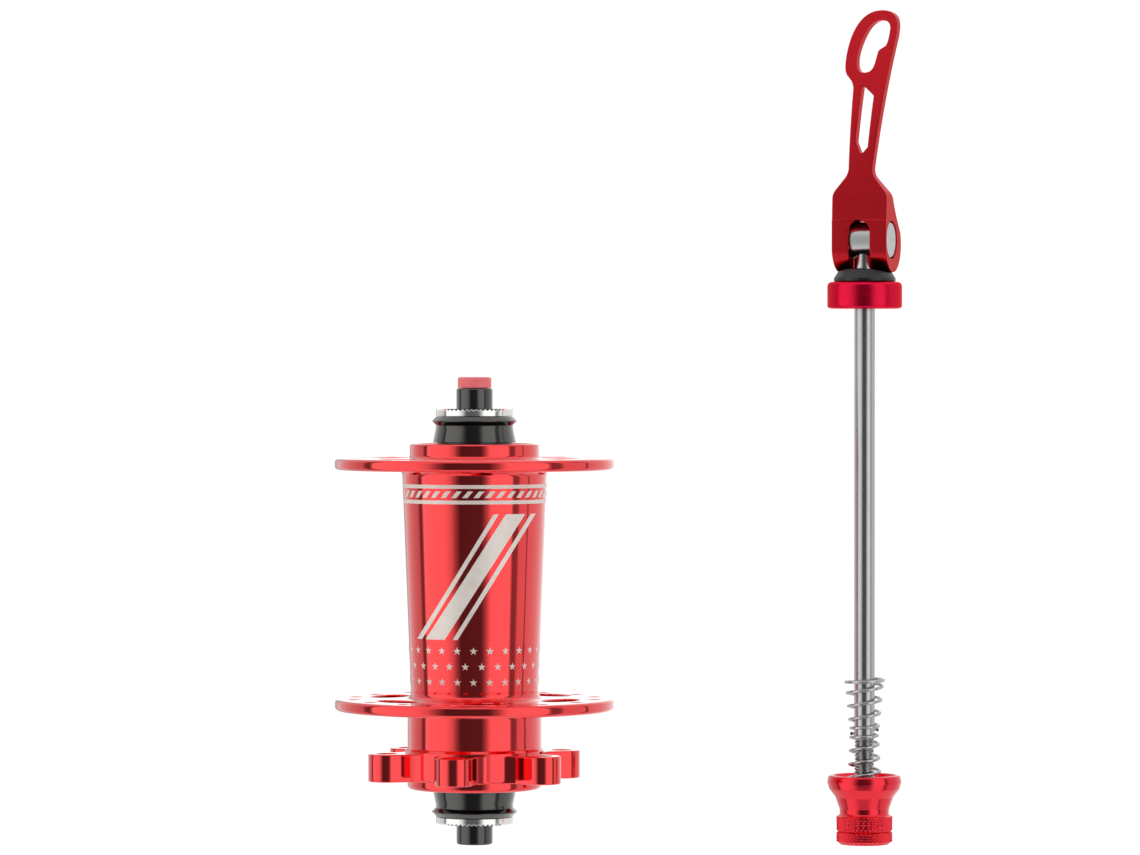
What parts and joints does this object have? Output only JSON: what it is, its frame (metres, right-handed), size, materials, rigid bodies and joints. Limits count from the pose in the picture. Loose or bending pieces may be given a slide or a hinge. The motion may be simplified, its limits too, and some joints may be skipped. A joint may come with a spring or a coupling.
{
  "type": "bicycle front hub assembly",
  "caption": "Flanged disc-brake bicycle front hub with star-etched tapered barrel, serrated end caps, and a cam-lever quick-release skewer standing beside it.",
  "frame": {"origin": "middle of the axle, on its axis, halfway between the two locknut faces", "axes": "+Z along the axle away from the disc side, +X towards the skewer, -Y towards the viewer"},
  "size_m": [0.1369, 0.0676, 0.2017],
  "materials": {
    "shell_red": "bright polished red anodised, with satin silver etched bands and stars",
    "lever_red": "satin deep red anodised",
    "collar_crimson": "bright crimson anodised",
    "nut_red": "bright red anodised, knurled grip",
    "plug_plastic": "matte pinkish red moulded plastic",
    "black_anodised": "semi-gloss black anodised",
    "chromed_steel": "bright plated steel with radial serrations",
    "polished_steel": "polished steel",
    "bearing_steel": "ground bearing steel",
    "bare_aluminium": "machined aluminium",
    "black_rubber": "matte black rubber",
    "black_plastic": "dark grey moulded nylon"
  },
  "bodies": {
    "axle": {"axle": "bare_aluminium", "bearing_top_inner_race": "bearing_steel", "bearing_bottom_inner_race": "bearing_steel"},
    "shell": {"hub_shell": "shell_red", "bearing_top_outer_race": "bearing_steel", "bearing_top_outer_seal": "black_rubber", "bearing_top_inner_seal": "black_rubber", "bearing_bottom_outer_race": "bearing_steel", "bearing_bottom_outer_seal": "black_rubber", "bearing_bottom_inner_seal": "black_rubber"},
    "cage_top": {"bearing_top_ball_cage": "bearing_steel"},
    "cage_bottom": {"bearing_bottom_ball_cage": "bearing_steel"},
    "top_end_cap": {"end_cap_top": "black_anodised", "locknut_ring_top": "chromed_steel", "o_ring_top": "black_rubber"},
    "bottom_end_cap": {"end_cap_bottom": "black_anodised", "locknut_ring_bottom": "chromed_steel", "o_ring_bottom": "black_rubber"},
    "plug": {"axle_plug": "plug_plastic"},
    "skewer": {"skewer_rod": "polished_steel", "cam_pin": "polished_steel"},
    "lever": {"lever": "lever_red"},
    "collar": {"end_collar": "collar_crimson", "cam_washer": "black_plastic"},
    "springs": {"spring_lower": "polished_steel", "spring_upper": "polished_steel"},
    "nut": {"adjusting_nut": "nut_red", "nut_insert": "bearing_steel"}
  },
  "joints": [
    {"name": "shell_spin", "type": "hinge", "parent": "axle", "child": "shell", "pos_m": [0, 0, 0], "axis": [0, 0, 1], "continuous": true},
    {"name": "cage_top_roll", "type": "hinge", "parent": "axle", "child": "cage_top", "pos_m": [0, 0, 0.0369], "axis": [0, 0, 1], "continuous": true},
    {"name": "cage_bottom_roll", "type": "hinge", "parent": "axle", "child": "cage_bottom", "pos_m": [0, 0, -0.0369], "axis": [0, 0, 1], "continuous": true},
    {"name": "top_cap_pull", "type": "slide", "parent": "axle", "child": "top_end_cap", "axis": [0, 0, 1], "range_m": [0, 0.012]},
    {"name": "bottom_cap_pull", "type": "slide", "parent": "axle", "child": "bottom_end_cap", "axis": [0, 0, -1], "range_m": [0, 0.012]},
    {"name": "plug_pull", "type": "slide", "parent": "top_end_cap", "child": "plug", "axis": [0, 0, 1], "range_m": [0, 0.008]},
    {"name": "skewer_shift", "type": "slide", "parent": "axle", "child": "skewer", "axis": [1, 0, 0], "range_m": [0, 0.045]},
    {"name": "lever_turn", "type": "hinge", "parent": "skewer", "child": "lever", "pos_m": [0.094, 0, 0.09065], "axis": [-0.9455, 0.3256, 0], "range_deg": [-90, 90]},
    {"name": "collar_push", "type": "slide", "parent": "skewer", "child": "collar", "axis": [0, 0, -1], "range_m": [-0.0014, 0.0014]},
    {"name": "nut_travel", "type": "slide", "parent": "skewer", "child": "springs", "axis": [0, 0, 1], "range_m": [0, 0.0121]},
    {"name": "nut_turn", "type": "hinge", "parent": "springs", "child": "nut", "pos_m": [0.094, 0, -0.05], "axis": [0, 0, 1], "range_deg": [0, 5400]}
  ],
  "couplings": [
    {"joint": "cage_top_roll", "follows": "shell_spin", "ratio": 0.5837},
    {"joint": "cage_bottom_roll", "follows": "shell_spin", "ratio": 0.5837},
    {"joint": "collar_push", "follows": "lever_turn", "m_per_rad": 0.00086},
    {"joint": "nut_travel", "follows": "nut_turn", "m_per_rad": 0.00012732}
  ]
}
